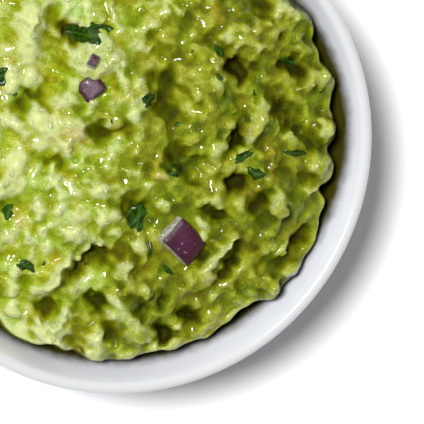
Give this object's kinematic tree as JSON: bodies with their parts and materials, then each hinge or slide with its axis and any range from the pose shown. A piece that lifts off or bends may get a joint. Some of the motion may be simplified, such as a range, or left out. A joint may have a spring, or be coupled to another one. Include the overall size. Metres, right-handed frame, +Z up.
{
  "type": "bowl of guacamole",
  "caption": "Small round white porcelain dip bowl with a foot ring, heaped with chunky guacamole that holds diced red onion and chopped green herb leaves.",
  "frame": {"origin": "under the middle of the bowl's foot ring, on the surface it stands on", "axes": "+Z up out of the bowl, +Y towards the back of the heap, +X to its right as seen from the front"},
  "size_m": [0.12, 0.12, 0.0581],
  "materials": {
    "bowl": "white glossy glaze",
    "guacamole": "wet, lumpy avocado mash, matt to glossy",
    "onion": "wet cut red onion, purple skin side and pale flesh",
    "herb": "wet chopped green leaf"
  },
  "bodies": {
    "root": {"bowl": "bowl", "guacamole": "guacamole", "onion_1": "onion", "onion_2": "onion", "onion_3": "onion", "onion_4": "onion", "leaf_01": "herb", "leaf_02": "herb", "leaf_03": "herb", "leaf_04": "herb", "leaf_05": "herb", "leaf_06": "herb", "leaf_07": "herb", "leaf_08": "herb", "leaf_09": "herb", "leaf_10": "herb", "leaf_11": "herb", "leaf_12": "herb", "leaf_13": "herb", "leaf_14": "herb", "leaf_15": "herb"}
  },
  "joints": []
}
